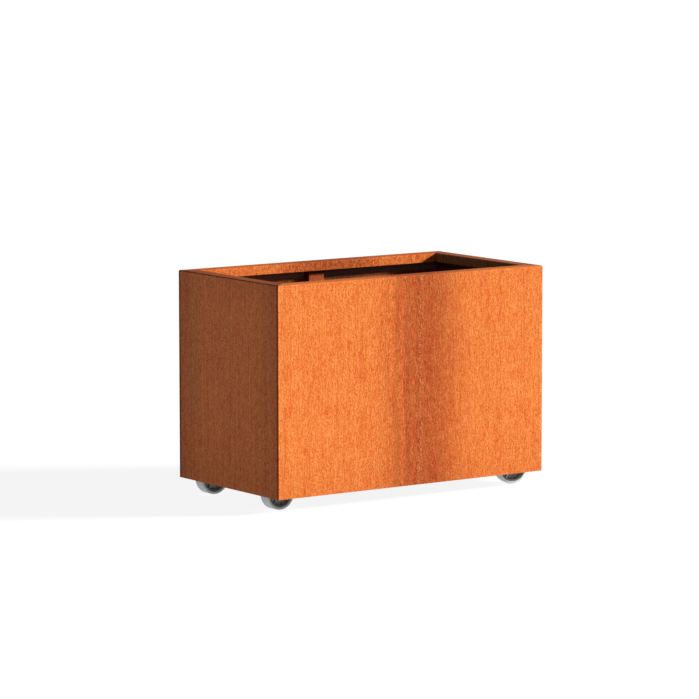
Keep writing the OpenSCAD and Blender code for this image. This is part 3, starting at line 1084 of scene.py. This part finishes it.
@dataclass
class SteelBox:
    """The folded and welded box: four walls with rims, two stiffeners, the floor and its bearers."""

    sizes: BoxSizes
    finishes: FinishBook
    body: str = "planter"
    bead_half: float = 2.2 * MM
    bead_height: float = 1.6 * MM
    ripple: float = 4 * MM
    stitch: float = 30 * MM
    stiffener_stitches: int = 4
    bearer_stitches: int = 5
    seam_half: float = 1.6 * MM
    seam_proud: float = 0.15 * MM

    FINISHES = {
        "front_panel": Finish.FRONT_WALL,
        "back_panel": Finish.BACK_WALL,
        "left_panel": Finish.LEFT_WALL,
        "right_panel": Finish.RIGHT_WALL,
        "front_stiffener": Finish.STIFFENER,
        "back_stiffener": Finish.STIFFENER,
        "floor_panel": Finish.INNER,
        "left_bearer": Finish.INNER,
        "right_bearer": Finish.INNER,
    }
    SIGNS = ((-1, -1), (1, -1), (-1, 1), (1, 1))

    def build(self, nodes: dict[str, bpy.types.Object]) -> None:
        """Dresses the box's nodes and lays its welds.

        Args:
            nodes: The frame's nodes by name.
        """
        for name, finish in self.FINISHES.items():
            self.finishes.lay(nodes[name], finish)
        for piece in (self.corner_welds(), self.stiffener_welds(), self.bearer_welds()):
            self.finishes.lay(piece, Finish.WELD)
        self.finishes.lay(self.rim_seams(), Finish.SEAM)

    def stitch_starts(self, low: float, high: float, count: int) -> list[float]:
        """Returns where the stitches start that are spread evenly over a length."""
        gap = (high - low - count * self.stitch) / count
        return [low + gap / 2 + i * (self.stitch + gap) for i in range(count)]

    def corner_welds(self) -> bpy.types.Object:
        """Lays the beads up the four inner corners, from the floor to the rim.

        Returns:
            The piece.
        """
        sizes = self.sizes
        welder = Welder("corner_welds")
        for sign_x, sign_y in self.SIGNS:
            x = sign_x * (sizes.half_length - sizes.sheet)
            y = sign_y * (sizes.half_depth - sizes.sheet)
            out = Vector((-sign_x, -sign_y, 0)).normalized()
            low = Vector((x, y, sizes.floor_z - sizes.sheet))
            high = Vector((x, y, sizes.rim_z - 2 * sizes.sheet))
            welder.bead(low, high, out, self.bead_half, self.bead_height, self.ripple)
        return welder.finish(self.body, "weathering_steel")

    def rim_seams(self) -> bpy.types.Object:
        """Lays the ground seams along the four mitres of the rim.

        Returns:
            The piece.
        """
        sizes = self.sizes
        welder = Welder("rim_seams")
        up = Vector((0, 0, 1))
        for sign_x, sign_y in self.SIGNS:
            corner = Vector((sign_x * sizes.half_length, sign_y * sizes.half_depth, sizes.rim_z))
            inward = Vector((-sign_x, -sign_y, 0))
            start = corner + sizes.fold * inward
            end = corner + (sizes.rim_width - sizes.fold) * inward
            welder.bead(start, end, up, self.seam_half, self.seam_proud, self.ripple)
        return welder.finish(self.body, "weathering_steel")

    def stiffener_welds(self) -> bpy.types.Object:
        """Lays the stitches on both sides of each stiffener.

        Returns:
            The piece.
        """
        sizes = self.sizes
        welder = Welder("stiffener_welds")
        for name, sign_y in (("front_stiffener", -1), ("back_stiffener", 1)):
            low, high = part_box(name)
            y = sign_y * (sizes.half_depth - sizes.sheet)
            for x, side in ((low.x, -1), (high.x, 1)):
                out = Vector((side, -sign_y, 0)).normalized()
                for z in self.stitch_starts(low.z, high.z, self.stiffener_stitches):
                    start, end = Vector((x, y, z)), Vector((x, y, z + self.stitch))
                    welder.bead(start, end, out, self.bead_half, self.bead_height, self.ripple)
        return welder.finish(self.body, "weathering_steel")

    def bearer_welds(self) -> bpy.types.Object:
        """Lays the stitches that hold the bearers under the floor.

        Returns:
            The piece.
        """
        welder = Welder("bearer_welds")
        for name in ("left_bearer", "right_bearer"):
            low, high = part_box(name)
            for x, side in ((low.x, -1), (high.x, 1)):
                out = Vector((side, 0, -1)).normalized()
                for y in self.stitch_starts(low.y, high.y, self.bearer_stitches):
                    start, end = Vector((x, y, high.z)), Vector((x, y + self.stitch, high.z))
                    welder.bead(start, end, out, self.bead_half, self.bead_height, self.ripple)
        return welder.finish(self.body, "weathering_steel_inside")


class Corner(Enum):
    """The four corners that have a castor."""

    FRONT_LEFT = "front_left"
    FRONT_RIGHT = "front_right"
    BACK_LEFT = "back_left"
    BACK_RIGHT = "back_right"


@dataclass
class Castor:
    """One swivel castor with its plate, fork, races, axle and wheel."""

    corner: Corner
    finishes: FinishBook

    FINISHES = {
        "castor_plate": Finish.ZINC_PLATE,
        "plate_bolts": Finish.ZINC_FASTENER,
        "plate_nuts": Finish.ZINC_FASTENER,
        "king_pin": Finish.ZINC_FASTENER,
        "race_balls": Finish.BEARING,
        "fork": Finish.ZINC_PLATE,
        "axle_bolt": Finish.ZINC_FASTENER,
        "axle_nut": Finish.ZINC_FASTENER,
        "axle_sleeve": Finish.BEARING,
        "hub_bush": Finish.NYLON,
        "tyre": Finish.TYRE,
    }

    def build(self, nodes: dict[str, bpy.types.Object]) -> None:
        """Dresses the castor's nodes.

        Args:
            nodes: The frame's nodes by name.
        """
        corner = self.corner.value
        for part, finish in self.FINISHES.items():
            self.finishes.lay(nodes[f"{corner}_{part}"], finish)
        low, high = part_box(f"{corner}_tyre")
        centre = self.finishes.wheel_centre(corner, (low + high) / 2)
        self.finishes.dress(nodes[f"{corner}_wheel_centre"], centre)


# ---------------------------------------------------------------- studio


@dataclass(frozen=True)
class Camera:
    """A long lens at the height of a standing viewer, looking slightly down on the planter."""

    position: Triple = (-7.2794, -10.2929, 2.0387)
    azimuth: float = 35.0974
    elevation: float = 7.2373
    roll: float = -0.0455
    lens: float = 209.49
    sensor: float = 36.0
    near: float = 0.1
    far: float = 500.0

    def build(self) -> None:
        """Makes the camera and makes it the scene's own."""
        azimuth, elevation = math.radians(self.azimuth), math.radians(self.elevation)
        level = math.cos(elevation)
        ahead = Vector((math.sin(azimuth) * level, math.cos(azimuth) * level, -math.sin(elevation)))
        turn = ahead.to_track_quat("-Z", "Y").to_matrix() @ Matrix.Rotation(math.radians(self.roll), 3, "Z")
        data = bpy.data.cameras.new("camera")
        data.lens, data.sensor_width = self.lens, self.sensor
        data.clip_start, data.clip_end = self.near, self.far
        camera = bpy.data.objects.new("camera", data)
        camera.matrix_world = Matrix.Translation(self.position) @ turn.to_4x4()
        bpy.context.scene.collection.objects.link(camera)
        bpy.context.scene.camera = camera


@dataclass(frozen=True)
class Studio:
    """A pale floor under a soft sky, a lamp like a low sun from the front right, and a low beam of it."""

    sun_travel: Triple = (-1.7, 1.0, -0.75)
    sun_strength: float = 5.0
    sun_spread: float = 9.0
    sun_colour: Colour = (1.0, 0.99, 0.96)
    beam_from: Triple = (2.49, -1.43, 0.03)
    beam_to: Triple = (0.43, -0.21, -0.006)
    beam_power: float = 180.0
    beam_angle: float = 2.4
    beam_blend: float = 0.3
    beam_lamp: float = 10 * MM
    sky_strength: float = 0.09
    sky_colour: Colour = (0.93, 1.0, 1.12)
    floor_reach: float = 150.0
    floor_drop: float = 0.2 * MM
    floor_colour: Colour = (0.18, 0.18, 0.18)
    floor_seen: float = 0.89
    floor_fill: float = 0.41

    def build(self) -> None:
        """Makes the floor, the sun with its low beam, and the sky."""
        self.floor()
        self.sun()
        self.beam()
        self.sky()
        bpy.context.scene.view_settings.view_transform = "Standard"

    def floor(self) -> None:
        """Makes the floor, which is seen as white but keeps a pale shadow."""
        mesh = bmesh.new()
        bmesh.ops.create_grid(mesh, x_segments=1, y_segments=1, size=self.floor_reach)
        bmesh.ops.translate(mesh, vec=(0, 0, -self.floor_drop), verts=mesh.verts)
        data = bpy.data.meshes.new("floor")
        mesh.to_mesh(data)
        mesh.free()
        floor = bpy.data.objects.new("floor", data)
        bpy.context.scene.collection.objects.link(floor)
        surface = Surface("studio_floor")
        glow = surface.bench.ease(surface.bench.seen(), 0.0, 1.0, self.floor_fill, self.floor_seen)
        surface.set(Base_Color=self.floor_colour, Roughness=1.0, Specular_IOR_Level=0.0)
        surface.set(Emission_Color=WHITE, Emission_Strength=glow)
        data.materials.append(surface.material)

    def lamp(self, kind: str, name: str, power: float, travel: Vector) -> bpy.types.Object:
        """Makes a lamp that shines one way.

        Args:
            kind: Its type name.
            name: Its name in the scene.
            power: How strongly it shines.
            travel: The way that its light goes.

        Returns:
            The lamp.
        """
        data = bpy.data.lights.new(name, kind)
        data.energy = power
        data.color = self.sun_colour
        lamp = bpy.data.objects.new(name, data)
        lamp.rotation_mode = "QUATERNION"
        lamp.rotation_quaternion = travel.to_track_quat("-Z", "Y")
        bpy.context.scene.collection.objects.link(lamp)
        return lamp

    def sun(self) -> None:
        """Makes the low sun."""
        lamp = self.lamp("SUN", "sun", self.sun_strength, Vector(self.sun_travel))
        lamp.data.angle = math.radians(self.sun_spread)

    def beam(self) -> None:
        """Makes the narrow beam of the low sun that reaches the front right wheel under the skirt."""
        travel = Vector(self.beam_to) - Vector(self.beam_from)
        lamp = self.lamp("SPOT", "low_beam", self.beam_power, travel)
        lamp.location = self.beam_from
        lamp.data.spot_size = math.radians(self.beam_angle)
        lamp.data.spot_blend = self.beam_blend
        lamp.data.shadow_soft_size = self.beam_lamp

    def sky(self) -> None:
        """Makes the sky: white to look at, soft as a light."""
        world = bpy.data.worlds.new("sky")
        world.use_nodes = True
        world.node_tree.nodes.clear()
        bench = Bench(world.node_tree)
        seen = bench.seen()
        background = bench.node("ShaderNodeBackground")
        bench.put(background.inputs["Color"], bench.mix(seen, self.sky_colour, WHITE))
        bench.put(background.inputs["Strength"], bench.ease(seen, 0.0, 1.0, self.sky_strength, 1.0))
        output = bench.node("ShaderNodeOutputWorld")
        bench.put(output.inputs["Surface"], background.outputs[0])
        bpy.context.scene.world = world


def main() -> None:
    """Builds the studio and the planter."""
    logging.basicConfig(level=logging.INFO, format="%(message)s")
    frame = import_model()
    Camera().build()
    Studio().build()
    sizes = BoxSizes.from_frame()
    finishes = FinishBook(sizes)
    SteelBox(sizes, finishes).build(frame["nodes"])
    for corner in Corner:
        Castor(corner, finishes).build(frame["nodes"])


if __name__ == "__main__":
    main()
